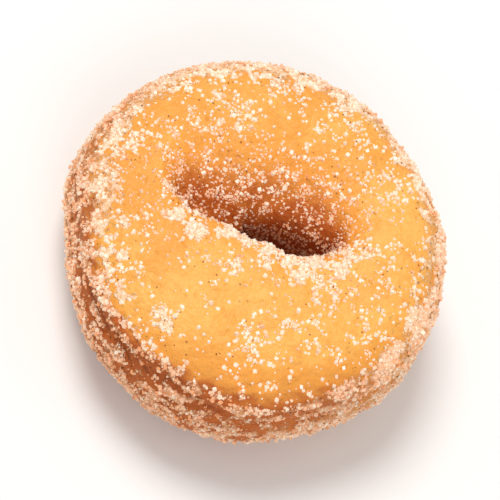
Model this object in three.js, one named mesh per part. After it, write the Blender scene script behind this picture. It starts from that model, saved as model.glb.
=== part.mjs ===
// A mini ring doughnut of fried cake dough, lying on its underside.
// Millimetres, +Z up. The origin is under the middle of the ring, in the plane that it rests on.
// The hole is a slot whose length lies along X. It is pinched shut towards -X, where only a groove is
// left of it, and its mouth slopes most on the +Y side.

import * as THREE from "three";
import { mergeVertices } from "three/addons/utils/BufferGeometryUtils.js";

const { clamp, lerp, smoothstep } = THREE.MathUtils;

// The ring.
const OUTER_DIAMETER = 50;
const HEIGHT = 19;
const SHOULDER_HEIGHT = 9.4; // where the side bulges furthest out
const SETTLED = 0.45; // depth of the underside that the ring's own weight has pressed flat

// The hole, at the waist where it is narrowest.
const HOLE_LENGTH = 11.6;
const HOLE_WIDTH = 5;
const HOLE_CENTRE = new THREE.Vector2(3.7, 1.3);
const HOLE_CORNER = { angle: 3.8, squareness: 5 }; // its blunt corner; 0 would leave an oval
const HOLE_CURL = { angle: -0.3, size: 2.4 }; // where its wall bends most towards +Y, and how far
const WAIST_HEIGHT = { near: 8.5, far: 12 }; // near: all but the +Y side

// The groove that carries the hole's mouth on towards -X. Its floor deepens towards the hole and is
// walled by a steep lip on the -Y side. On the +Y side it rises by a bank, and then by a gentle slope.
const GROOVE = {
  from: new THREE.Vector3(-10.2, -0.4, 13.2),
  to: new THREE.Vector3(0, 0.6, 9.4),
  halfWidth: 0.6,
  lipSlope: 2.8,
  bank: { top: 17.8, width: 2.8 },
  farSlope: 0.2,
};
const GROOVE_BLEND = 2.6; // how softly it runs into the top of the dough

// How far the crest of the dough lies from the hole's waist, as a share of the way to the side.
const CREST_ACROSS = { near: 0.3, far: 0.5, under: 0.4 };

// How full each quarter of the ring's section is: 2 is an ellipse, and more is closer to a box.
const FULLNESS = { nearLip: 3.4, farSlope: 1.6, innerUnder: 2.9, outerTop: 2.6, outerUnder: 2.5 };

// The seam round the side, where the dough split as it rose.
const SEAM_HEIGHT = 11.6;
const SEAM_DEPTH = 0.8;
const SEAM_SPREAD = 1.1;
const SEAM_REACH = { from: 0.7, to: 0.95 }; // shares of the way from waist to side where it fades in

// How finely the ring is faceted, round the hole and round its own section.
const STEPS_AROUND = 92;
const STEPS_ACROSS = 52;

const TURN = 2 * Math.PI;

// Unevenness of the dough, as waves round the ring: each has a number of crests,
// a size in millimetres, and the angle at which it crests first.
const OUTLINE_WAVES = [
  { crests: 2, size: 0.4, first: 2.36 },
  { crests: 3, size: 0.15, first: 0.6 },
  { crests: 4, size: 0.3, first: 0 },
  { crests: 7, size: 0.1, first: 0.5 },
];
const TOP_WAVES = [
  { crests: 1, size: 0.35, first: 1.2 },
  { crests: 3, size: 0.22, first: 2.2 },
  { crests: 4, size: 0.14, first: 0.3 },
];
const HOLE_WAVES = [
  { crests: 3, size: 0.2, first: 0.9 },
  { crests: 5, size: 0.12, first: 2.1 },
];
const SEAM_WAVES = [
  { crests: 2, size: 0.7, first: 4.4 },
  { crests: 5, size: 0.35, first: 0.8 },
];

// Where the side was pressed in by a neighbour: the angle, how far round it spreads, and its depth.
const PRESS = { angle: 3.56, spread: 0.38, depth: 0.95 };

function sumOf(waves, angle) {
  const heights = waves.map((w) => w.size * Math.cos(w.crests * (angle - w.first)));
  return heights.reduce((sum, height) => sum + height, 0);
}

// 1 at the middle, falling smoothly to nothing a few spreads away.
function bump(value, middle, spread) {
  return Math.exp(-(((value - middle) / spread) ** 2));
}

// 1 at one angle, falling to 0 a quarter of a turn away from it.
function facing(angle, direction) {
  return Math.max(0, Math.cos(angle - direction));
}

function signedPower(value, power) {
  return Math.sign(value) * Math.abs(value) ** power;
}

// From 0 to 1, highest on the +Y side of the ring.
function farSide(angle) {
  return 0.5 + 0.5 * Math.sin(angle);
}

// The point of the hole's waist at an angle round it.
function wallPoint(angle) {
  const growth = sumOf(HOLE_WAVES, angle);
  const curl = HOLE_CURL.size * facing(angle, HOLE_CURL.angle) ** 3;
  const squareness = HOLE_CORNER.squareness * facing(angle, HOLE_CORNER.angle) ** 2;
  const power = 2 / (2 + squareness);
  return new THREE.Vector2(
    (HOLE_LENGTH / 2 + growth) * signedPower(Math.cos(angle), power),
    (HOLE_WIDTH / 2 + growth) * signedPower(Math.sin(angle), power) + curl,
  ).add(HOLE_CENTRE);
}

// The point of the outer side, at shoulder height, at an angle round the ring.
function shoulderPoint(angle) {
  const press = PRESS.depth * bump(angle, PRESS.angle, PRESS.spread);
  const radius = OUTER_DIAMETER / 2 + sumOf(OUTLINE_WAVES, angle) - press;
  return new THREE.Vector2(radius * Math.cos(angle), radius * Math.sin(angle));
}

// How full the ring's section is, in the quarter between the hole or the side and the top or underside.
function fullness(angle, inner, upper) {
  if (inner && upper) return lerp(FULLNESS.nearLip, FULLNESS.farSlope, farSide(angle));
  if (inner) return FULLNESS.innerUnder;
  return upper ? FULLNESS.outerTop : FULLNESS.outerUnder;
}

// One point of the ring's section at an angle round the ring. round is 0 at the hole's waist, a quarter
// turn at the top of the dough, half a turn at the shoulder and three quarters underneath.
// across runs from 0 at the waist to 1 at the shoulder.
function sectionPoint(angle, round) {
  const inner = Math.cos(round) > 0;
  const upper = Math.sin(round) > 0;
  const power = 2 / fullness(angle, inner, upper);
  const sideways = Math.abs(Math.cos(round)) ** power;
  const updown = Math.abs(Math.sin(round)) ** power;
  const crestAcross = upper ? lerp(CREST_ACROSS.near, CREST_ACROSS.far, farSide(angle)) : CREST_ACROSS.under;
  const crest = upper ? HEIGHT + sumOf(TOP_WAVES, angle) : -SETTLED;
  const waist = lerp(WAIST_HEIGHT.near, WAIST_HEIGHT.far, facing(angle, TURN / 4));
  const middle = inner ? waist : SHOULDER_HEIGHT;
  return {
    across: inner ? crestAcross * (1 - sideways) : lerp(crestAcross, 1, sideways),
    height: Math.max(0, lerp(middle, crest, updown)),
  };
}

// How far the seam draws the side in at a height.
function seamDepth(angle, height, across) {
  const seam = SEAM_DEPTH * bump(height, SEAM_HEIGHT + sumOf(SEAM_WAVES, angle), SEAM_SPREAD);
  return seam * smoothstep(across, SEAM_REACH.from, SEAM_REACH.to);
}

// The height of the groove's floor and sides at a place, which passes the dough's top away from it.
function grooveHeight(place) {
  const { from, to, bank } = GROOVE;
  const floor = from.clone().lerp(to, clamp((place.x - from.x) / (to.x - from.x), 0, 1));
  const away = new THREE.Vector2(place.x - floor.x, place.y - floor.y);
  const distance = Math.max(0, away.length() - GROOVE.halfWidth);
  const farness = smoothstep(away.y / Math.max(away.length(), 1e-6), -0.2, 0.9);
  const lip = GROOVE.lipSlope * distance;
  const rise = (bank.top - floor.z) * (1 - Math.exp(-distance / bank.width));
  return floor.z + lerp(lip, rise + GROOVE.farSlope * distance, farness);
}

// The lower of two heights, with the corner between them rounded over a blend.
function softLower(first, second, blend) {
  const overlap = Math.max(0, blend - Math.abs(first - second)) / blend;
  return Math.min(first, second) - (blend * overlap ** 2) / 4;
}

// The place in space of one point of the dough's surface.
function doughPoint(angle, round) {
  const { across, height } = sectionPoint(angle, round);
  const place = wallPoint(angle).lerp(shoulderPoint(angle), across);
  place.setLength(place.length() - seamDepth(angle, height, across));
  const top = Math.sin(round) > 0 ? softLower(height, grooveHeight(place), GROOVE_BLEND) : height;
  return new THREE.Vector3(place.x, place.y, top);
}

// A torus whose every point is moved to its place on the dough, centred over the origin.
function doughGeometry() {
  const torus = new THREE.TorusGeometry(2, 1, STEPS_ACROSS, STEPS_AROUND);
  const uv = torus.getAttribute("uv");
  const position = torus.getAttribute("position");
  for (let i = 0; i < position.count; i++) {
    const angle = TURN * uv.getX(i);
    const round = Math.PI - TURN * uv.getY(i);
    const place = doughPoint(angle, round);
    position.setXYZ(i, place.x, place.y, place.z);
  }
  torus.deleteAttribute("uv");
  torus.deleteAttribute("normal");
  const dough = mergeVertices(torus, 1e-4);
  dough.computeBoundingBox();
  const middle = dough.boundingBox.getCenter(new THREE.Vector3());
  dough.translate(-middle.x, -middle.y, -dough.boundingBox.min.z);
  dough.computeVertexNormals();
  return dough;
}

function friedCrust() {
  return new THREE.MeshStandardMaterial({ color: 0xf0a552, roughness: 0.75, metalness: 0 });
}

const doughnut = new THREE.Mesh(doughGeometry(), friedCrust());
doughnut.name = "doughnut";

const part = new THREE.Group();
part.add(doughnut);

export default part;
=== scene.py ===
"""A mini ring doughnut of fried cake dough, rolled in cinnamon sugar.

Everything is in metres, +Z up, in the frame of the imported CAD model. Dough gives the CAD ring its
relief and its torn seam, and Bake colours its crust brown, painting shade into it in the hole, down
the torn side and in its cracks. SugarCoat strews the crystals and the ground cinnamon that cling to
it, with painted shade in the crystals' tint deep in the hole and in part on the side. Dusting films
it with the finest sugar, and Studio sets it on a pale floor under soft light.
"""

import logging
import math
from collections.abc import Callable, Iterator
from dataclasses import dataclass
from enum import Enum

import bmesh
import bpy
import numpy as np
from mathutils import Matrix, Vector, noise

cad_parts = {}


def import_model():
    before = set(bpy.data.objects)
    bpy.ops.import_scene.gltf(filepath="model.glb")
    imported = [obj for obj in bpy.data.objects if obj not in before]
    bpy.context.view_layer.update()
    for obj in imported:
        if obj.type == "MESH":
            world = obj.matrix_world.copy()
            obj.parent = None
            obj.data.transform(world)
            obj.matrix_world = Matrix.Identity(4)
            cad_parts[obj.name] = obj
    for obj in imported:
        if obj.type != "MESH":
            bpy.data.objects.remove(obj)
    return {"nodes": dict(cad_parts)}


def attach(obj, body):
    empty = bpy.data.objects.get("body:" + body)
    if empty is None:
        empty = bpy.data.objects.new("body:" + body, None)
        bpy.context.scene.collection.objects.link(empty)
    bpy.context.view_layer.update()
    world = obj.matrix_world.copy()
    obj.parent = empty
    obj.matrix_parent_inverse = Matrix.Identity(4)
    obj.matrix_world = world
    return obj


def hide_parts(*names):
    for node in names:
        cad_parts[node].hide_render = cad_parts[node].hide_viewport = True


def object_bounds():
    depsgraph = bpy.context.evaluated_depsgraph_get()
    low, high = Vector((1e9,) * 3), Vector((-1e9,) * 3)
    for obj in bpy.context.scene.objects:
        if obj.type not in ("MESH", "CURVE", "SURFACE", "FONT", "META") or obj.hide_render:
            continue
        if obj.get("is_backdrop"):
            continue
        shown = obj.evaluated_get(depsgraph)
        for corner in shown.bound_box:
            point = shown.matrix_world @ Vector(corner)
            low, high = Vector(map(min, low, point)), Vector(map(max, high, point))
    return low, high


MM = 0.001
CAD_NODE = "doughnut"
BODY = "root"
NOISE_STEP = (1.0, 1.7, 2.3)  # the way in space from one use's noise to the next one's

log = logging.getLogger("doughnut")

Array = np.ndarray
Colour = tuple[float, float, float, float]
Pair = tuple[float, float]
Fade = Pair  # where a smooth ramp is 0, and where it is 1


# ---- Small tools for numbers ----


def smooth_ramp(values: Array, low: float, high: float) -> Array:
    """Turns values into a smooth 0 to 1, 0 at low and 1 at high, where low may be the larger."""
    share = np.clip((values - low) / (high - low), 0, 1)
    return share * share * (3 - 2 * share)


def mix(first: Array | float, second: Array | float, share: Array) -> Array:
    """The value that lies share of the way from first to second."""
    return first + (second - first) * share


def bump(values: Array, middle: Array | float, spread: float) -> Array:
    """1 at the middle, falling smoothly to nothing a few spreads away."""
    return np.exp(-(((values - middle) / spread) ** 2))


def unit(vectors: Array) -> Array:
    """The vectors, one to a row, each scaled to a length of one."""
    return vectors / np.maximum(np.linalg.norm(vectors, axis=-1, keepdims=True), 1e-12)


@dataclass(frozen=True)
class Unevenness:
    """Smooth noise in space.

    Its size is how far apart its crests lie, and its shift is a number that gives each use its own.
    """

    amount: float
    size: float
    shift: float

    def at(self, places: Array) -> Array:
        """Its value at each place, from about -amount to amount."""
        offset = Vector([self.shift * part for part in NOISE_STEP])
        values = [noise.noise(Vector(place) / self.size + offset) for place in places]
        return self.amount * np.array(values)


@dataclass(frozen=True)
class Spot:
    """A round area, seen from above and in millimetres, where there is more of something or less."""

    x: float
    y: float
    radius: float
    amount: float

    def on(self, places: Array) -> Array:
        """What it adds at each place."""
        away = np.hypot(places[:, 0] - self.x * MM, places[:, 1] - self.y * MM)
        return self.amount * bump(away, 0, self.radius * MM)


# ---- Materials ----


class Signal:
    """A socket of numbers that can be used in arithmetic, each step adding a Math node."""

    def __init__(self, shader: "Shader", socket: bpy.types.NodeSocket) -> None:
        """Wraps an output socket of the shader's tree."""
        self.shader = shader
        self.socket = socket

    def _math(self, operation: str, first: "Signal | float", second: "Signal | float") -> "Signal":
        """The result of a Math node on two values."""
        return self.shader.node("ShaderNodeMath", {"operation": operation}, {0: first, 1: second})

    def __add__(self, other: "Signal | float") -> "Signal":
        """self + other"""
        return self._math("ADD", self, other)

    def __radd__(self, other: float) -> "Signal":
        """other + self"""
        return self._math("ADD", other, self)

    def __sub__(self, other: "Signal | float") -> "Signal":
        """self - other"""
        return self._math("SUBTRACT", self, other)

    def __rsub__(self, other: float) -> "Signal":
        """other - self"""
        return self._math("SUBTRACT", other, self)

    def __mul__(self, other: "Signal | float") -> "Signal":
        """self * other"""
        return self._math("MULTIPLY", self, other)

    def __rmul__(self, other: float) -> "Signal":
        """other * self"""
        return self._math("MULTIPLY", other, self)

    def swing(self, amount: float) -> "Signal":
        """Noise of 0 to 1, brought to swing round 0 over a range of amount."""
        return (self - 0.5) * amount

    def ramp(self, low: float, high: float) -> "Signal":
        """A smooth 0 to 1, 0 where self is at low and 1 where it is at high."""
        settings = {"interpolation_type": "SMOOTHSTEP"}
        return self.shader.node("ShaderNodeMapRange", settings, {0: self, 1: low, 2: high})


class Shader:
    """A material under construction, with a Principled surface."""

    def __init__(self, name: str) -> None:
        """Starts a material with that name."""
        self.material = bpy.data.materials.new(name)
        self.material.use_nodes = True
        self.tree = self.material.node_tree
        self.surface = self.tree.nodes["Principled BSDF"]
        self.place = self.node("ShaderNodeTexCoord", output="Object")

    def node(
        self,
        kind: str,
        settings: dict[str, object] | None = None,
        inputs: dict[int | str, object] | None = None,
        output: int | str = 0,
    ) -> Signal:
        """Adds a node.

        Args:
            kind: The node's type.
            settings: Its settings, which are set before its sockets are filled.
            inputs: A value or a Signal for each input socket, by its name or number.
            output: The name or number of the output that is wanted.

        Returns:
            That output.
        """
        made = self.tree.nodes.new(kind)
        for name, value in (settings or {}).items():
            setattr(made, name, value)
        for name, value in (inputs or {}).items():
            self.fill(made.inputs[name], value)
        return Signal(self, made.outputs[output])

    def fill(self, socket: bpy.types.NodeSocket, value: object) -> None:
        """Links a Signal to an input socket, or sets the socket to a plain value."""
        if isinstance(value, Signal):
            self.tree.links.new(value.socket, socket)
        else:
            socket.default_value = value

    def surface_is(self, **sockets: object) -> None:
        """Fills the surface's sockets, named with _ for a space, such as Base_Color."""
        for name, value in sockets.items():
            self.fill(self.surface.inputs[name.replace("_", " ")], value)

    def noise(self, size: float, detail: float = 2.0, roughness: float = 0.5) -> Signal:
        """Noise from 0 to 1 whose crests lie about size apart."""
        inputs = {"Vector": self.place, "Scale": 1 / size, "Detail": detail, "Roughness": roughness}
        return self.node("ShaderNodeTexNoise", {}, inputs)

    def attribute(self, name: str) -> Signal:
        """A number stored on the piece's points."""
        return self.node("ShaderNodeAttribute", {"attribute_name": name}, output="Fac")

    def blend(self, first: Signal | Colour, second: Signal | Colour, share: Signal) -> Signal:
        """A colour that runs from first to second as share goes from 0 to 1."""
        mixer = {"data_type": "RGBA", "clamp_factor": True}
        # The node has sockets of the same names for other types, so its colours go by number.
        return self.node("ShaderNodeMix", mixer, {0: share, 6: first, 7: second}, output=2)

    def relief(self, height: Signal, depth: float) -> Signal:
        """The normal of a surface raised by height, which is 1 where it stands depth proud."""
        return self.node("ShaderNodeBump", {}, {"Distance": depth, "Height": height}, output="Normal")


@dataclass(frozen=True)
class CrustFinish:
    """Fried dough: golden on the face, browner down the side and in the hole, with pores. Its brown and
    dark tones also stand in for shade, painted into the hole, down the torn side and in its cracks.

    Each colour takes over from the one before it across a fade of the brown tone that the dough
    stores, painted shade included. How much of it the dust hides is a fade of the dusting.
    """

    pale: Colour = (0.92, 0.465, 0.1, 1)
    golden: Colour = (0.85, 0.345, 0.05, 1)
    brown: Colour = (0.54, 0.125, 0.015, 1)
    # Past its fade, this dark tone is painted shade: deep in the hole and in the torn side's cracks.
    dark: Colour = (0.26, 0.05, 0.008, 1)
    speck: Colour = (0.25, 0.07, 0.018, 1)
    dust: Colour = (0.95, 0.67, 0.45, 1)
    spiced_dust: Colour = (0.86, 0.45, 0.23, 1)
    golden_fade: Fade = (0.0, 0.3)
    brown_fade: Fade = (0.3, 1.0)
    dark_fade: Fade = (0.95, 1.6)
    rough_fade: Fade = (0.35, 0.95)
    dust_fade: Fade = (0.32, 0.72)
    spiced_fade: Fade = (0.25, 0.95)
    speck_share: float = 0.75  # how much of the crust's own colour a speck hides
    dust_share: float = 0.75  # how much of it the dust hides where it is thickest
    mottle_size: float = 6 * MM
    blotch_size: float = 2 * MM
    grain_size: float = 0.8 * MM
    film_size: float = 0.5 * MM
    pore_size: float = 1.1 * MM
    speck_size: float = 0.9 * MM
    relief_depth: float = 0.2 * MM

    def material(self) -> bpy.types.Material:
        """The crust's material, which reads the dough's brown tone, with painted shade, and dusting."""
        shader = Shader("fried_crust")
        mottle = shader.noise(self.mottle_size, detail=4, roughness=0.6)
        blotch = shader.noise(self.blotch_size)
        grain = shader.noise(self.grain_size, detail=3, roughness=0.6)
        film = shader.noise(self.film_size, detail=3, roughness=0.7)
        uneven = mottle.swing(0.5) + blotch.swing(0.22) + grain.swing(0.22)
        # The stored brown tone includes painted shade in the hole and down the torn side.
        browning_and_shade = shader.attribute("browning_and_shade") + uneven
        dusty = (shader.attribute("dusting") + film.swing(1.7)).ramp(*self.dust_fade)
        specks = self.dots(shader, self.speck_size, core=0.1, edge=0.24, rarity=0.9)
        tone = shader.blend(self.pale, self.golden, browning_and_shade.ramp(*self.golden_fade))
        tone = shader.blend(tone, self.brown, browning_and_shade.ramp(*self.brown_fade))
        tone = shader.blend(tone, self.dark, browning_and_shade.ramp(*self.dark_fade))
        tone = shader.blend(tone, self.speck, specks * self.speck_share)
        dust = shader.blend(self.dust, self.spiced_dust, browning_and_shade.ramp(*self.spiced_fade))
        tone = shader.blend(tone, dust, dusty * self.dust_share)
        pores = self.dots(shader, self.pore_size, core=0.0, edge=0.34, rarity=0.72)
        rough = browning_and_shade.ramp(*self.rough_fade)
        height = film * (0.6 + rough) + grain * 1.2 + dusty * 0.5 - pores * 0.8 + blotch * 2.0
        shader.surface_is(
            Base_Color=tone,
            Roughness=0.44 + dusty * 0.3 + rough * 0.15 + grain.swing(0.2),
            Normal=shader.relief(height, self.relief_depth),
            Subsurface_Weight=0.15,
            Subsurface_Radius=(1.0, 0.45, 0.2),
            Subsurface_Scale=1.2 * MM,
            Specular_IOR_Level=0.33,
        )
        return shader.material

    def dots(self, shader: Shader, size: float, core: float, edge: float, rarity: float) -> Signal:
        """Small round dots in some cells of a loose grid.

        Args:
            shader: The material that they belong to.
            size: The width of a cell, which has at most one dot.
            core: How far from its middle a dot starts to fade, as a share of a cell.
            edge: How far from its middle it ends.
            rarity: The share of cells that stay empty.

        Returns:
            1 on a dot and 0 away from it.
        """
        inputs = {"Vector": shader.place, "Scale": 1 / size}
        distance = shader.node("ShaderNodeTexVoronoi", {}, inputs, output="Distance")
        ragged = distance + shader.noise(0.35 * size).swing(0.3)
        cell = shader.node("ShaderNodeTexVoronoi", {}, inputs, output="Color")
        chance = shader.node("ShaderNodeSeparateColor", {}, {0: cell})
        return ragged.ramp(edge, core) * chance.ramp(rarity, rarity + 0.04)


@dataclass(frozen=True)
class SugarFinish:
    """Granulated sugar, clear to white, brown a little from the cinnamon that it is mixed with, and
    painted darker as shade deep in the hole and in part on the side.
    """

    clean: Colour = (0.99, 0.84, 0.68, 1)
    # The colour at full tint: partly cinnamon, and partly painted shade and warm reflected light.
    browned_and_shaded: Colour = (0.86, 0.39, 0.18, 1)
    roughness: float = 0.35

    def material(self) -> bpy.types.Material:
        """The sugar's material, which reads each crystal's own tint."""
        shader = Shader("sugar")
        tint = shader.attribute("tint")
        shader.surface_is(
            Base_Color=shader.blend(self.clean, self.browned_and_shaded, tint),
            Roughness=self.roughness,
            Subsurface_Weight=0.7,
            Subsurface_Radius=(1.0, 0.85, 0.7),
            Subsurface_Scale=0.35 * MM,
        )
        return shader.material


@dataclass(frozen=True)
class CinnamonFinish:
    """Dry ground spice, each speck its own brown."""

    light: Colour = (0.36, 0.12, 0.035, 1)
    dark: Colour = (0.12, 0.035, 0.012, 1)

    def material(self) -> bpy.types.Material:
        """The cinnamon's material."""
        shader = Shader("cinnamon")
        tint = shader.attribute("tint")
        shader.surface_is(Base_Color=shader.blend(self.light, self.dark, tint), Roughness=0.85)
        return shader.material


@dataclass(frozen=True)
class FloorFinish:
    """A plain pale tabletop."""

    shade: Colour = (0.87, 0.86, 0.85, 1)
    darkest: float = 0.97  # how light it is at its darkest, against that shade
    drift_size: float = 60 * MM

    def material(self) -> bpy.types.Material:
        """The floor's material."""
        shader = Shader("pale_floor")
        drift = shader.noise(self.drift_size, detail=1)
        darker = tuple(self.darkest * part for part in self.shade[:3]) + (1,)
        shader.surface_is(Base_Color=shader.blend(darker, self.shade, drift), Roughness=0.7)
        return shader.material


# ---- The dough ----


def add_piece(name: str, mesh: bpy.types.Mesh, finish: bpy.types.Material) -> bpy.types.Object:
    """Adds a mesh to the scene as a piece of its own.

    Args:
        name: The piece's name.
        mesh: Its mesh, in the frame of the CAD model.
        finish: Its material.

    Returns:
        The piece.
    """
    mesh.name = name
    mesh.materials.clear()
    mesh.materials.append(finish)
    piece = bpy.data.objects.new(name, mesh)
    bpy.context.scene.collection.objects.link(piece)
    return piece


@dataclass(frozen=True)
class Points:
    """Points of the dough's surface: their places and their normals, one to a row."""

    places: Array
    normals: Array

    @classmethod
    def of(cls, mesh: bpy.types.Mesh) -> "Points":
        """The points of a mesh."""
        places = np.empty(len(mesh.vertices) * 3)
        mesh.vertices.foreach_get("co", places)
        normals = np.empty(len(mesh.vertices) * 3, np.float32)
        mesh.vertex_normals.foreach_get("vector", normals)
        return cls(places.reshape(-1, 3), normals.reshape(-1, 3).astype(float))

    @property
    def heights(self) -> Array:
        """How high each lies."""
        return self.places[:, 2]

    @property
    def angles(self) -> Array:
        """Where each lies round the ring."""
        return np.arctan2(self.places[:, 1], self.places[:, 0])

    def pick(self, rows: Array | slice) -> "Points":
        """Some of the points."""
        return Points(self.places[rows], self.normals[rows])

    def raised(self, rises: Array) -> "Points":
        """The points, each moved out along its normal by its rise."""
        return Points(self.places + self.normals * rises[:, None], self.normals)

    def above(self, least: Array | float) -> "Points":
        """The points, each lifted to its least height if it lies lower."""
        heights = np.maximum(self.heights, least)
        return Points(np.column_stack((self.places[:, :2], heights)), self.normals)


def store(mesh: bpy.types.Mesh, name: str, values: Array) -> None:
    """Stores a number for each of a mesh's points, for its material to read."""
    mesh.attributes.new(name, "FLOAT", "POINT").data.foreach_set("value", values.astype(np.float32))


@dataclass(frozen=True)
class Wave:
    """Unevenness that runs round the ring: how many crests, their size and where the first one is."""

    crests: int
    size: float
    first: float

    def at(self, angles: Array) -> Array:
        """Its height at each angle."""
        return self.size * np.cos(self.crests * (angles - self.first))


@dataclass
class Dough:
    """The ring of dough, with the fine relief and the brown tone that the CAD solid leaves out; the
    brown tone includes painted shade.

    A fade named top, bottom or height is of heights, and one named facing is of how much the dough
    faces outward, from -1 in the hole to 1 on the side. Angles run from +X towards +Y.
    """

    stand: float = 0.22 * MM  # the sugar under the ring holds the dough this far off the floor
    fineness: int = 2  # how many times each square is quartered

    # The hole, with its mouth and the narrow core inside it.
    hole_line: tuple[Pair, ...] = ((-9 * MM, -0.2 * MM), (8.5 * MM, 2.6 * MM))
    mouth_reach: Fade = (12 * MM, 8.4 * MM)  # from the hole's line
    mouth_top: Fade = (19.35 * MM, 15.35 * MM)
    mouth_bottom: Fade = (1 * MM, 8 * MM)
    core_reach: float = 6 * MM  # from the hole's line
    core_tops: Pair = (11.0 * MM, 17.2 * MM)  # in the groove, and where it is open
    core_opening: Fade = (-3 * MM, 3 * MM)  # along X
    core_edge: Fade = (0, -4.5 * MM)  # of the height above its top
    core_bottom: Fade = (0.5 * MM, 3 * MM)

    # The steep side of the hole's lip.
    lip_facing: Fade = (-0.12, -0.4)
    lip_height: Fade = (14 * MM, 17 * MM)
    lip_side: Fade = (0, -2 * MM)  # from the hole's line, towards +Y
    lip_shape: tuple[Spot, ...] = (
        Spot(-8.0, -2.2, 2.0, -0.8),
        Spot(1.6, -2.8, 1.8, 0.5),
        Spot(5.6, -2.4, 1.6, 0.35),
    )

    # The rim and the side.
    upper_height: Fade = (11 * MM, 14 * MM)
    side_facing: Fade = (0.5, 0.85)
    rim_facing: Fade = (0.22, 0.55)
    flank_height: Fade = (16.0 * MM, 13.5 * MM)
    flank_reach: Fade = (10 * MM, 13 * MM)  # from the hole's line
    bare_edge: float = -1.13  # the angle at which the least sugar lies on the rim
    bare_width: float = 0.4  # how much further outward the rim's sugar starts to face there

    # The seam, and the cracks round it.
    seam_height: float = 11.6 * MM
    seam_waves: tuple[Wave, ...] = (Wave(2, 0.7 * MM, 4.4), Wave(5, 0.35 * MM, 0.8))
    seam_spread: float = 1.6 * MM
    most_torn: float = -1.85  # the angle at which the seam gapes most
    least_torn: float = 0.28  # how torn it is on the far side from there
    torn_spread: float = 4.8 * MM
    crack_rise: float = 7 * MM  # counts for as much as a radian round the ring
    crack_sizes: tuple[Unevenness, ...] = (Unevenness(1.9, 0.24, 51), Unevenness(0.9, 0.1, 37))
    off_seam: float = 0.35  # how much further the side stands out away from the seam
    off_seam_reach: float = 2.56 * MM
    furthest_out: float = 1.2
    crack_fade: Fade = (0.5, 0.1)  # of how far the torn side stands out

    # The relief.
    swells: tuple[Unevenness, ...] = (
        Unevenness(0.3 * MM, 7 * MM, 3),
        Unevenness(0.1 * MM, 2.2 * MM, 11),
        Unevenness(0.06 * MM, 1.1 * MM, 23),
    )
    tear: float = 0.42 * MM
    tear_level: float = 0.8  # where the torn side stands out this far, it stays as it is

    def build(self, source: bpy.types.Object) -> bpy.types.Object:
        """Makes the dough's piece.

        Args:
            source: The CAD node that it stands for.

        Returns:
            The piece, with its brown tone, painted shade included, stored on its points.
        """
        piece = add_piece("dough", self.smooth_copy(source), CrustFinish().material())
        mesh = piece.data
        self.raise_relief(mesh)
        # Its brown tone includes painted shade in the hole, down the torn side and in its cracks.
        store(mesh, "browning_and_shade", BrowningAndShade().over(self, Points.of(mesh)))
        mesh.shade_smooth()
        return piece

    def smooth_copy(self, source: bpy.types.Object) -> bpy.types.Mesh:
        """The CAD ring's mesh, merged into squares and divided more finely."""
        form = bmesh.new()
        form.from_mesh(source.data)
        bmesh.ops.remove_doubles(form, verts=form.verts, dist=0.001 * MM)
        bmesh.ops.join_triangles(
            form,
            faces=form.faces,
            angle_face_threshold=math.radians(50),
            angle_shape_threshold=math.radians(60),
        )
        coarse = bpy.data.meshes.new("coarse_ring")
        form.to_mesh(coarse)
        form.free()
        holder = bpy.data.objects.new("coarse_ring", coarse)
        bpy.context.scene.collection.objects.link(holder)
        divide = holder.modifiers.new("divide", "SUBSURF")
        divide.levels = self.fineness
        divide.render_levels = self.fineness
        graph = bpy.context.evaluated_depsgraph_get()
        fine = bpy.data.meshes.new_from_object(holder.evaluated_get(graph))
        bpy.data.objects.remove(holder)
        bpy.data.meshes.remove(coarse)
        return fine

    def seam_offset(self, points: Points) -> Array:
        """How far each point is above the seam."""
        waves = sum(wave.at(points.angles) for wave in self.seam_waves)
        return points.heights - self.seam_height - waves

    def from_hole(self, points: Points) -> Array:
        """The way to each place, seen from above, from the nearest point of the hole's length."""
        start, end = np.array(self.hole_line)
        along = end - start
        share = np.clip((points.places[:, :2] - start) @ along / (along @ along), 0, 1)
        return points.places[:, :2] - (start + share[:, None] * along)

    def away(self, points: Points) -> Array:
        """How far each place lies from the hole's line, seen from above."""
        return np.linalg.norm(self.from_hole(points), axis=1)

    def outward(self, points: Points) -> Array:
        """How much each place faces away from the hole."""
        return np.sum(unit(self.from_hole(points)) * points.normals[:, :2], axis=1)

    def upper(self, points: Points) -> Array:
        """1 on the upper part of the ring, fading out below its rim."""
        return smooth_ramp(points.heights, *self.upper_height)

    def side(self, points: Points) -> Array:
        """1 on the ring's outer side, fading out over its rim."""
        return smooth_ramp(self.outward(points), *self.side_facing)

    def flank(self, points: Points) -> Array:
        """1 on the outer side and on every ridge that stands out of it below the rim."""
        low = smooth_ramp(points.heights, *self.flank_height)
        far = smooth_ramp(self.away(points), *self.flank_reach)
        return np.maximum(self.side(points), low * far)

    def towards(self, points: Points, angle: float, sharpness: float) -> Array:
        """1 at an angle round the ring, fading out within a quarter of a turn, or sooner if sharp."""
        return np.clip(np.cos(points.angles - angle), 0, 1) ** sharpness

    def bare(self, points: Points) -> Array:
        """1 where the rim is barest of sugar."""
        return self.towards(points, self.bare_edge, sharpness=3)

    def torn(self, points: Points) -> Array:
        """1 where the seam gapes most, and where the side's sugar is painted darkest, in part as shade.
        """
        return self.towards(points, self.most_torn, sharpness=3)

    def rim(self, points: Points) -> Array:
        """1 where the sugar of the side lies, which laps over the rim except at its bare edge."""
        further = self.bare_width * self.bare(points)
        return smooth_ramp(self.outward(points) - further, *self.rim_facing)

    def mouth(self, points: Points) -> Array:
        """How far in the hole's mouth each place lies, from 0 at its edge to 1."""
        near = smooth_ramp(self.away(points), *self.mouth_reach)
        sunk = smooth_ramp(points.heights, *self.mouth_top)
        return near * sunk * smooth_ramp(points.heights, *self.mouth_bottom)

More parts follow.
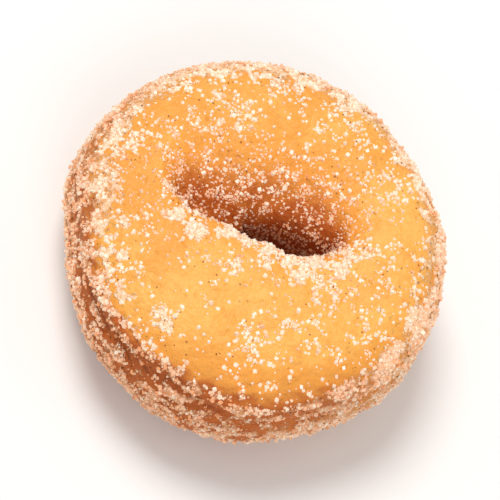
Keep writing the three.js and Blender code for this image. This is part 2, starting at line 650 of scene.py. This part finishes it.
    def core(self, points: Points) -> Array:
        """1 in the narrow part of the hole, and 0 outside it: the part that is painted dark as shade.
        """
        inside = self.away(points) < self.core_reach
        top = mix(*self.core_tops, smooth_ramp(points.places[:, 0], *self.core_opening))
        sunk = smooth_ramp(points.heights - top, *self.core_edge)
        return inside * sunk * smooth_ramp(points.heights, *self.core_bottom)

    def lip(self, points: Points) -> Array:
        """1 along the edge where the face falls into the hole on its steep side."""
        inward = smooth_ramp(self.outward(points), *self.lip_facing)
        high = smooth_ramp(points.heights, *self.lip_height)
        return inward * high * smooth_ramp(self.from_hole(points)[:, 1], *self.lip_side)

    def torn_band(self, points: Points) -> Array:
        """1 along the seam where it gapes most, fading out to where the side is whole."""
        depth = mix(self.least_torn, 1.0, self.torn(points))
        return depth * bump(self.seam_offset(points), 0, self.torn_spread) * self.side(points)

    def cracks(self, points: Points) -> Array:
        """How far the torn side stands out, from 0 in its cracks, which run round it, to about 1."""
        angles, rises = points.angles, points.heights / self.crack_rise
        rolled_out = np.column_stack((np.cos(angles), np.sin(angles), rises))
        ridges = sum(np.abs(size.at(rolled_out)) for size in self.crack_sizes)
        off_seam = smooth_ramp(np.abs(self.seam_offset(points)), 0, self.off_seam_reach)
        return np.clip(ridges + self.off_seam * off_seam, 0, self.furthest_out)

    def cracked(self, points: Points) -> Array:
        """1 in the torn side's cracks and 0 between them."""
        return self.torn_band(points) * smooth_ramp(self.cracks(points), *self.crack_fade)

    def raise_relief(self, mesh: bpy.types.Mesh) -> None:
        """Moves the points along their normals into swells, the torn seam and the uneven lip."""
        points = Points.of(mesh)
        swells = sum(swell.at(points.places) for swell in self.swells)
        tear = self.tear * (self.cracks(points) - self.tear_level) * self.torn_band(points)
        lip = MM * sum(spot.on(points.places) for spot in self.lip_shape) * self.upper(points)
        moved = points.raised(swells + tear + lip).above(self.stand)
        mesh.vertices.foreach_set("co", moved.places.ravel())
        mesh.update()


@dataclass(frozen=True)
class BrowningAndShade:
    """How brown frying left the crust, with painted shade in the hole, down the torn side and in its
    cracks: the sum of what each part of the ring adds.
    """

    face: float = 0.08
    mottle: Unevenness = Unevenness(0.1, 9 * MM, 41)
    # The face is darker across one half, towards browner_way.
    browner_half: float = 0.13
    browner_way: Pair = (-0.64, 0.77)
    browner_fade: Fade = (-8 * MM, 16 * MM)  # from the middle
    shoulder: float = 0.08
    shoulder_facing: Fade = (0.25, 0.6)
    bare_rim: float = 0.19
    bare_rim_facing: Pair = (0.55, 0.22)  # how much its middle faces outward, and its spread
    whole_side: float = 0.3
    # Down the torn side the brown is partly frying and partly painted shade.
    torn_side: float = 0.95
    # Darker in the seam and its cracks: painted shade in these creases.
    seam: float = 0.1
    crack: float = 0.38
    # The mouth's brown is part frying and part painted shade; the core's is painted shade alone.
    mouth: float = 0.66
    core: float = 0.48

    def over(self, dough: Dough, points: Points) -> Array:
        """The brown tone at each place, painted shade included, from about 0 where it is palest to 1.7
        where it is darkest.
        """
        return (
            self.on_face(points)
            + self.on_rim(dough, points)
            + self.on_side(dough, points)
            + self.mouth * dough.mouth(points)
            + self.core * dough.core(points)
        )

    def on_face(self, points: Points) -> Array:
        """What the face has everywhere, and more on its browner half."""
        across = points.places[:, :2] @ np.array(self.browner_way)
        browner = self.browner_half * smooth_ramp(across, *self.browner_fade)
        return self.face + self.mottle.at(points.places) + browner

    def on_rim(self, dough: Dough, points: Points) -> Array:
        """What is added over the shoulder, and along the bare edge of the rim."""
        facing = dough.outward(points)
        shoulder = self.shoulder * smooth_ramp(facing, *self.shoulder_facing)
        bare = self.bare_rim * bump(facing, *self.bare_rim_facing) * dough.bare(points)
        return (shoulder + bare) * dough.upper(points)

    def on_side(self, dough: Dough, points: Points) -> Array:
        """What is added down the side: more where it is torn, and most in the seam and its cracks,
        which is partly painted shade.
        """
        torn = dough.towards(points, dough.most_torn, sharpness=1)
        side = mix(self.whole_side, self.torn_side, torn) * dough.flank(points)
        seam = bump(dough.seam_offset(points), 0, dough.seam_spread) * dough.side(points)
        return side + self.seam * seam + self.crack * dough.cracked(points)


# ---- The sugar ----


@dataclass
class Skin:
    """The dough's surface as triangles on which grains can be strewn."""

    corners: Array
    corner_normals: Array
    areas: Array

    @classmethod
    def of(cls, piece: bpy.types.Object) -> "Skin":
        """The surface of a piece."""
        mesh = piece.data
        mesh.calc_loop_triangles()
        flat = np.empty(len(mesh.loop_triangles) * 3, np.int32)
        mesh.loop_triangles.foreach_get("vertices", flat)
        rows = flat.reshape(-1, 3)
        points = Points.of(mesh)
        corners = points.places[rows]
        across = np.cross(corners[:, 1] - corners[:, 0], corners[:, 2] - corners[:, 0])
        return cls(corners, points.normals[rows], np.linalg.norm(across, axis=1) / 2)

    @property
    def middles(self) -> Points:
        """The middles of the triangles."""
        return Points(self.corners.mean(axis=1), unit(self.corner_normals.mean(axis=1)))

    def strew(self, thickness: Array, count: int, dice: np.random.Generator) -> Points:
        """Picks points on the surface.

        Args:
            thickness: How thickly each triangle is strewn, against the others.
            count: How many points to pick.
            dice: The source of chance.

        Returns:
            The points.
        """
        chances = self.areas * thickness
        picks = dice.choice(len(chances), count, p=chances / chances.sum())
        first, second = dice.random((2, count))
        folded = first + second > 1
        first, second = np.where(folded, 1 - first, first), np.where(folded, 1 - second, second)
        shares = np.column_stack((1 - first - second, first, second))[:, :, None]
        places = (self.corners[picks] * shares).sum(axis=1)
        return Points(places, unit((self.corner_normals[picks] * shares).sum(axis=1)))


class Cut(Enum):
    """How a grain is cut, by how many of its corners are missing."""

    WHOLE = 0
    CHIPPED = 1


@dataclass(frozen=True)
class Block:
    """The form of a grain: an uneven block about as large as a ball of radius one."""

    length: float = 1.3
    chip: float = 0.38  # how far along its edges a missing corner reaches
    skew: float = 0.13  # how far each corner is out of true, at most
    breadth: Pair = (0.75, 1)  # least and most, against its length
    height: Pair = (0.55, 0.85)  # least and most, against its length

    def shape(self, cut: Cut, dice: np.random.Generator) -> tuple[Array, Array]:
        """Shapes one grain.

        Args:
            cut: How many of its corners are missing.
            dice: The source of chance.

        Returns:
            Its points and its triangles.
        """
        form = bmesh.new()
        bmesh.ops.create_cube(form, size=self.length)
        corners = list(form.verts)
        dice.shuffle(corners)
        if cut is not Cut.WHOLE:
            bmesh.ops.bevel(
                form,
                geom=corners[: cut.value],
                offset=self.chip,
                affect="VERTICES",
                segments=1,
                profile=0.5,
                material=-1,
            )
        for corner in form.verts:
            corner.co += Vector(dice.uniform(-self.skew, self.skew, 3))
        flattening = Vector((1, dice.uniform(*self.breadth), dice.uniform(*self.height)))
        bmesh.ops.scale(form, verts=form.verts, vec=flattening)
        bmesh.ops.triangulate(form, faces=form.faces)
        form.verts.index_update()
        points = np.array([corner.co[:] for corner in form.verts])
        triangles = np.array([[corner.index for corner in face.verts] for face in form.faces])
        form.free()
        return points, triangles


def random_turns(count: int, dice: np.random.Generator) -> Array:
    """Rotation matrices that turn each grain its own way."""
    w, x, y, z = unit(dice.normal(size=(count, 4))).T
    rows = (
        (1 - 2 * (y * y + z * z), 2 * (x * y - z * w), 2 * (x * z + y * w)),
        (2 * (x * y + z * w), 1 - 2 * (x * x + z * z), 2 * (y * z - x * w)),
        (2 * (x * z - y * w), 2 * (y * z + x * w), 1 - 2 * (x * x + y * y)),
    )
    return np.array(rows).transpose(2, 0, 1)


@dataclass(frozen=True)
class Strewing:
    """How thickly an area is strewn: on the whole, how unevenly, and least and most."""

    level: float
    patchiness: Unevenness
    limits: Pair

    def at(self, places: Array, more: Array | float = 0) -> Array:
        """The thickness at each place, where more is added to it before the limits are kept."""
        return np.clip(self.level + self.patchiness.at(places) + more, *self.limits)


@dataclass(frozen=True)
class Grains:
    """One kind of grain on one area of the ring, which becomes one piece.

    Its sizes are the radii of the smallest and the largest grains. Its spacing is how near two of
    them may lie, as a share of their radii together. A clumping of 0 takes no heed of the clumps.
    """

    name: str
    slot: str
    count: int
    sizes: Pair
    cut: Cut
    thickness: Callable[["SugarCoat", Points], Array]
    tint: float
    seed: int
    spacing: float = 0.0
    clumping: float = 1.0


@dataclass
class SugarCoat:
    """The sugar and cinnamon that cling to the dough."""

    dough: Dough
    patches: tuple[Spot, ...]

    # How thickly each area is strewn, and where it ends.
    on_face: Strewing = Strewing(0.3, Unevenness(1.1, 4 * MM, 5), (0.1, 6))
    face_up: Fade = (0.3, 0.75)  # of how much it faces up
    on_lip: float = 2.2
    bare_facing: Fade = (0.15, 0.45)  # of how much it faces outward
    bareness: float = 0.6  # how much of the face's sugar is missing at its bare edge
    on_side: Strewing = Strewing(1, Unevenness(0.7, 2.5 * MM, 15), (0.03, 2))
    seam_line: float = 0.88 * MM
    seam_thinning: float = 0.3
    crack_thinning: float = 0.6
    in_hole: Strewing = Strewing(0.9, Unevenness(0.8, 2.5 * MM, 19), (0.15, 2))
    hole_height: Fade = (5 * MM, 10 * MM)
    hole_bottom: float = 0.3  # how thickly its bottom is strewn, against its top
    on_underside: Strewing = Strewing(1, Unevenness(0.9, 3 * MM, 25), (0.1, 2))
    underside_up: Fade = (-0.3, -0.8)  # of how much it faces up

    # How much of the fine grains lies with the coarse ones of each area, and anywhere.
    fine_in_hole: float = 0.8
    fine_on_face: float = 0.28
    fine_on_underside: float = 0.6
    fine_anywhere: float = 0.04

    # How the grains gather into clumps, and how likely they are to cling between them.
    gathering: tuple[Unevenness, ...] = (Unevenness(0.75, 1.5 * MM, 9), Unevenness(0.4, 0.6 * MM, 13))
    ridge_level: float = 0.55  # the torn side gathers them where it stands out further than this
    ridge_pull: float = 0.7
    patch_pull: float = 0.08
    clump_fade: Fade = (0.02, 0.4)  # of the lumps
    between_clumps: float = 0.05

    # The grains themselves. Their lift is how far out of the dough their middles stand, in radii.
    shapes_of_a_kind: int = 10
    tries: int = 4  # places to choose from, for each grain
    smallness: float = 1.4  # above 1, small grains are commoner than large ones
    lift: Pair = (-0.2, 0.6)
    reach: float = 1.3  # about how far their corners are from their middles, in radii

    # How the spice browns them, and how painted shade darkens them deep in the hole and in part on the
    # side.
    tint_spread: float = 0.2
    # Deep in the hole's core the tint is painted shade.
    core_tint: float = 0.3
    # On the side the tint is partly cinnamon, partly painted shade and warm reflected light.
    side_tint: Pair = (0.4, 0.56)  # where it is whole, and where it is torn
    clump_tint: Pair = (1.85, 0.85)  # the share of that between clumps, and in them

    def face(self, points: Points) -> Array:
        """How thickly the face is strewn: lightly, in patches, and along the hole's lip."""
        up = smooth_ramp(points.normals[:, 2], *self.face_up)
        edge = smooth_ramp(self.dough.outward(points), *self.bare_facing) * self.dough.bare(points)
        more = self.drawn(points) + self.on_lip * self.dough.lip(points)
        return up * self.on_face.at(points.places, more) * (1 - self.bareness * edge)

    def drawn(self, points: Points) -> Array:
        """What the patches add to the thickness at each place."""
        return sum(patch.on(points.places) for patch in self.patches)

    def clumps(self, points: Points) -> Array:
        """How likely a grain is to cling at each place: little between the clumps, and 1 in them."""
        return mix(self.between_clumps, 1, smooth_ramp(self.lumps(points), *self.clump_fade))

    def lumps(self, points: Points) -> Array:
        """The noise that gathers the sugar into clumps, which lie along the ridges of the torn side."""
        gathered = sum(size.at(points.places) for size in self.gathering)
        ridges = self.dough.side(points) * (self.dough.cracks(points) - self.ridge_level)
        return gathered + self.patch_pull * self.drawn(points) + self.ridge_pull * ridges

    def side(self, points: Points) -> Array:
        """How thickly the side is strewn: all over, but thin in the seam's torn lines."""
        seam = bump(self.dough.seam_offset(points), 0, self.seam_line)
        thinning = self.seam_thinning * seam + self.crack_thinning * self.dough.cracked(points)
        return self.dough.rim(points) * self.on_side.at(points.places, -thinning)

    def hole(self, points: Points) -> Array:
        """How thickly the hole's sloping wall is strewn."""
        share = mix(self.hole_bottom, 1, smooth_ramp(points.heights, *self.hole_height))
        return np.sqrt(self.dough.mouth(points)) * share * self.in_hole.at(points.places)

    def underside(self, points: Points) -> Array:
        """How thickly the underside is strewn."""
        down = smooth_ramp(points.normals[:, 2], *self.underside_up)
        return down * self.on_underside.at(points.places)

    def everywhere(self, points: Points) -> Array:
        """How thickly fine grains lie all over, following the coarse ones."""
        return (
            self.side(points)
            + self.fine_in_hole * self.hole(points)
            + self.fine_on_face * self.face(points)
            + self.fine_on_underside * self.underside(points)
            + self.fine_anywhere
        )

    def build(self, skin: Skin, grains: Grains, finish: bpy.types.Material) -> bpy.types.Object:
        """Strews one kind of grain.

        Args:
            skin: The surface that it lies on.
            grains: What to strew.
            finish: The grains' material.

        Returns:
            The piece.
        """
        dice = np.random.default_rng(grains.seed)
        points = skin.strew(grains.thickness(self, skin.middles), self.tries * grains.count, dice)
        clinging = self.clumps(points) ** grains.clumping
        picks = dice.choice(len(clinging), grains.count, replace=False, p=clinging / clinging.sum())
        points, clinging = points.pick(picks), clinging[picks]
        radii = mix(*grains.sizes, dice.random(grains.count) ** self.smallness)
        points = points.raised(radii * dice.uniform(*self.lift, grains.count))
        spaces = radii * grains.spacing
        kept = self.spread_out(points.places, spaces) if grains.spacing else slice(None)
        points, radii, clinging = points.pick(kept), radii[kept], clinging[kept]
        points = points.above(self.reach * radii)
        chance = dice.normal(0, self.tint_spread, len(radii))
        tint = np.clip(grains.tint + self.browned_and_shaded(points, clinging) + chance, 0, 1)
        mesh = self.joined(grains, points.places, radii, tint, dice)
        piece = add_piece(grains.name, mesh, finish)
        # Sugar is clear, so it hardly shades the dough that it lies on.
        piece.visible_shadow = grains.slot != "sugar"
        return piece

    def browned_and_shaded(self, points: Points, clinging: Array) -> Array:
        """How much more the grains of the side and those deep in the hole are tinted: on the side by
        the spice, in part with painted shade and reflection, and deep in the hole by painted shade
        alone.
        """
        tint = mix(*self.side_tint, self.dough.torn(points)) * mix(*self.clump_tint, clinging)
        return self.core_tint * self.dough.core(points) + tint * self.dough.side(points)

    def spread_out(self, places: Array, radii: Array) -> Array:
        """The rows of the grains that are left when each that crowds an earlier one is dropped."""
        cell = 2 * radii.max()
        cells: dict[tuple[int, ...], list[int]] = {}
        kept = []
        for row, place in enumerate(places):
            key = tuple(np.floor(place / cell).astype(int))
            crowded = any(
                np.sum((places[other] - place) ** 2) < (radii[other] + radii[row]) ** 2
                for near in self.neighbours(key)
                for other in cells.get(near, ())
            )
            if not crowded:
                cells.setdefault(key, []).append(row)
                kept.append(row)
        return np.array(kept)

    def neighbours(self, key: tuple[int, ...]) -> Iterator[tuple[int, ...]]:
        """The cells round a cell, and itself."""
        for step in np.ndindex(3, 3, 3):
            yield tuple(part + move - 1 for part, move in zip(key, step))

    def joined(
        self,
        grains: Grains,
        places: Array,
        radii: Array,
        tint: Array,
        dice: np.random.Generator,
    ) -> bpy.types.Mesh:
        """Joins grains into one mesh.

        Args:
            grains: What they are.
            places: The middle of each.
            radii: The radius of each.
            tint: How brown each is, painted shade included.
            dice: The source of chance.

        Returns:
            The mesh, with each grain's tint stored on its points.
        """
        block = Block()
        shapes = [block.shape(grains.cut, dice) for _ in range(self.shapes_of_a_kind)]
        turns = random_turns(len(places), dice)
        points, triangles, tints, used = [], [], [], 0
        for kind, (form, faces) in enumerate(shapes):
            rows = np.arange(kind, len(places), len(shapes))
            turned = np.einsum("nij,pj->npi", turns[rows], form) * radii[rows, None, None]
            points.append((turned + places[rows, None]).reshape(-1, 3))
            starts = used + len(form) * np.arange(len(rows))
            triangles.append((faces[None] + starts[:, None, None]).reshape(-1, 3))
            tints.append(np.repeat(tint[rows], len(form)))
            used += len(form) * len(rows)
        mesh = bpy.data.meshes.new(grains.name)
        mesh.from_pydata(np.concatenate(points).tolist(), [], np.concatenate(triangles).tolist())
        store(mesh, "tint", np.concatenate(tints))
        return mesh


@dataclass(frozen=True)
class Dusting:
    """The finest sugar, which films the dough and has no grains of its own.

    It follows the strewing of two kinds of area: the heavy ones, side and underside, and the light
    ones, face and hole.
    """

    base: float = 0.05
    underside: float = 0.7  # how thick its strewing counts, against the side's
    hole: float = 0.4  # how thick its strewing counts, against the face's
    face_limits: Pair = (0, 3)
    haze: Pair = (0.5, 0.05)  # where the side is whole, and where it is torn
    haze_fade: Fade = (0.1, 1.4)  # of how thick the heavy strewing is
    light_haze: float = 0.05
    lump_fade: Fade = (0, 0.4)  # of the coat's lumps
    heavy_lumps: float = 0.7
    light_lumps: float = 0.2

    def settle(self, ring: bpy.types.Object, coat: SugarCoat) -> None:
        """Stores how much of it lies on the ring, from 0 to 1, which the crust's material reads."""
        points = Points.of(ring.data)
        face = np.clip(coat.face(points), *self.face_limits)
        light = face + self.hole * coat.hole(points)
        heavy = coat.side(points) + self.underside * coat.underside(points)
        haze = mix(*self.haze, coat.dough.torn(points)) * smooth_ramp(heavy, *self.haze_fade)
        lumps = smooth_ramp(coat.lumps(points), *self.lump_fade)
        clotted = lumps * (self.heavy_lumps * heavy + self.light_lumps * light)
        film = self.base + haze + self.light_haze * light + clotted
        store(ring.data, "dusting", np.clip(film, 0, 1))


SUGAR_PATCHES = (
    # Along the steep edge of the hole, from its pinched end and round its open one.
    Spot(-7.1, -6.2, 1.0, 14.0),
    Spot(-10.4, -5.2, 1.0, 9.0),
    Spot(-3.9, -4.6, 0.9, 5.0),
    Spot(-0.3, -3.9, 1.0, 3.0),
    Spot(3.6, -4.0, 1.2, 4.0),
    Spot(6.4, -4.9, 1.2, 3.2),
    Spot(8.0, -2.8, 1.4, 3.8),
    Spot(10.8, -1.2, 1.5, 3.5),
    Spot(11.2, -5.2, 1.3, 3.5),
    Spot(12.9, 2.2, 1.5, 2.0),
    # Small heaps between the hole and the rim, and on the rim.
    Spot(-0.2, -7.7, 0.9, 4.0),
    Spot(-6.3, -18.2, 0.8, 7.0),
    Spot(-4.9, -19.3, 0.8, 9.0),
    Spot(-4.5, -17.4, 0.6, 5.0),
    # Wide, light drifts over the rest of the face and its rim.
    Spot(-12.6, 13.8, 2.2, 1.5),
    Spot(-9.0, 11.8, 2.2, 1.2),
    Spot(-17.0, 4.0, 2.6, 0.8),
    Spot(4.0, 19.5, 4.0, 1.2),
    Spot(-4.5, 20.0, 2.8, 1.4),
    Spot(-8.8, 18.8, 2.4, 1.0),
    Spot(-20.5, -5.5, 2.4, 1.8),
    Spot(-21.0, 2.0, 2.4, 1.4),
    Spot(10.2, 13.4, 2.2, 0.9),
    Spot(5.0, -15.5, 2.8, 1.2),
    Spot(10.5, -11.5, 2.8, 0.9),
    Spot(-15.0, -14.0, 3.0, 1.2),
    # Broad areas with a little less or a little more.
    Spot(-4.0, -13.0, 5.0, -0.4),
    Spot(-15.0, -3.5, 4.0, -0.6),
    Spot(6.0, -19.5, 3.0, 0.8),
    Spot(1.0, 15.0, 3.5, 0.4),
    Spot(16.0, 7.0, 3.5, -0.4),
)

GRAINS = (
    Grains("sugar_side", "sugar", 14000, (0.13 * MM, 0.4 * MM), Cut.CHIPPED, SugarCoat.side,
           tint=0.2, seed=1, spacing=0.6, clumping=1.1),
    Grains("sugar_face", "sugar", 5400, (0.14 * MM, 0.42 * MM), Cut.CHIPPED, SugarCoat.face,
           tint=0.1, seed=2, spacing=0.6),
    Grains("sugar_hole", "sugar", 5200, (0.1 * MM, 0.31 * MM), Cut.CHIPPED, SugarCoat.hole,
           tint=0.5, seed=3, spacing=0.6, clumping=0.85),
    Grains("sugar_under", "sugar", 6000, (0.15 * MM, 0.36 * MM), Cut.CHIPPED, SugarCoat.underside,
           tint=0.3, seed=4, spacing=0.6, clumping=0.6),
    Grains("sugar_fine", "sugar", 15000, (0.05 * MM, 0.13 * MM), Cut.WHOLE, SugarCoat.everywhere,
           tint=0.2, seed=5),
    Grains("cinnamon_specks", "cinnamon", 3000, (0.05 * MM, 0.12 * MM), Cut.WHOLE,
           SugarCoat.everywhere, tint=0.5, seed=6, clumping=0.0),
)


# ---- The studio ----


@dataclass(frozen=True)
class SoftLight:
    """A large soft lamp that faces the doughnut."""

    name: str
    towards: tuple[float, float, float]
    distance: float
    width: float
    power: float
    shade: tuple[float, float, float]

    def hang(self, target: Vector) -> None:
        """Adds the lamp, aimed at the target."""
        lamp = bpy.data.lights.new(self.name, "AREA")
        lamp.shape = "DISK"
        lamp.size = self.width
        lamp.energy = self.power
        lamp.color = self.shade
        holder = bpy.data.objects.new(self.name, lamp)
        direction = Vector(self.towards).normalized()
        holder.location = target + direction * self.distance
        holder.rotation_euler = direction.to_track_quat("Z", "Y").to_euler()
        bpy.context.scene.collection.objects.link(holder)


@dataclass(frozen=True)
class Viewpoint:
    """Where the camera stands: high up and far off, and rolled on its own axis."""

    elevation: float = 60
    roll: float = 27
    distance: float = 0.52
    share_of_frame: float = 0.79
    sensor: float = 36

    def place_camera(self, low: Vector, high: Vector) -> None:
        """Adds the camera, aimed at the middle of a box that fills its share of the frame."""
        tilt = math.radians(self.elevation)
        back = Vector((0, -math.cos(tilt), math.sin(tilt)))
        lens = bpy.data.cameras.new("camera")
        lens.sensor_width = self.sensor
        lens.lens = self.sensor * self.distance * self.share_of_frame / (high.x - low.x)
        lens.clip_start = 0.01
        camera = bpy.data.objects.new("camera", lens)
        turned = back.to_track_quat("Z", "Y").to_matrix().to_4x4()
        rolled = turned @ Matrix.Rotation(math.radians(self.roll), 4, "Z")
        camera.matrix_world = Matrix.Translation((low + high) / 2 + back * self.distance) @ rolled
        bpy.context.scene.collection.objects.link(camera)
        bpy.context.scene.camera = camera


@dataclass
class Studio:
    """A pale floor, soft light and the camera."""

    floor_width: float = 3.0
    ambient: float = 0.44
    lights: tuple[SoftLight, ...] = (
        SoftLight("key", (-0.33, 0.34, 0.88), 0.9, 0.45, 5.7, (1, 0.985, 0.96)),
        SoftLight("fill", (0.3, -0.72, 0.62), 1.2, 0.8, 4.2, (1, 0.99, 0.98)),
        SoftLight("side", (0.92, 0.05, 0.4), 1.0, 0.6, 1.0, (1, 0.985, 0.96)),
    )
    viewpoint: Viewpoint = Viewpoint()

    def build(self, low: Vector, high: Vector) -> None:
        """Sets everything round a doughnut whose box has these corners."""
        self.lay_floor()
        self.light_sky()
        for light in self.lights:
            light.hang((low + high) / 2)
        self.viewpoint.place_camera(low, high)
        bpy.context.scene.view_settings.view_transform = "Standard"

    def lay_floor(self) -> None:
        """Adds the floor, level with the doughnut's underside."""
        form = bmesh.new()
        bmesh.ops.create_grid(form, x_segments=8, y_segments=8, size=self.floor_width / 2)
        mesh = bpy.data.meshes.new("floor")
        form.to_mesh(mesh)
        form.free()
        add_piece("floor", mesh, FloorFinish().material())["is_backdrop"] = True

    def light_sky(self) -> None:
        """Lights the scene evenly from all round."""
        world = bpy.data.worlds.new("soft_sky")
        world.use_nodes = True
        sky = world.node_tree.nodes["Background"]
        sky.inputs["Color"].default_value = (1, 1, 1, 1)
        sky.inputs["Strength"].default_value = self.ambient
        bpy.context.scene.world = world


# ---- The whole ----


def main() -> None:
    """Builds the doughnut in order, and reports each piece."""
    logging.basicConfig(level=logging.INFO, format="%(name)s: %(message)s")
    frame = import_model()
    cad_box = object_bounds()
    Studio().build(*cad_box)

    dough = Dough()
    ring = dough.build(frame["nodes"][CAD_NODE])
    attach(ring, BODY)
    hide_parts(CAD_NODE)
    log.info("%s: %d faces", ring.name, len(ring.data.polygons))

    finishes = {"sugar": SugarFinish().material(), "cinnamon": CinnamonFinish().material()}
    skin = Skin.of(ring)
    coat = SugarCoat(dough, SUGAR_PATCHES)
    Dusting().settle(ring, coat)
    for grains in GRAINS:
        piece = coat.build(skin, grains, finishes[grains.slot])
        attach(piece, BODY)
        log.info("%s: %d faces", piece.name, len(piece.data.polygons))


if __name__ == "__main__":
    main()
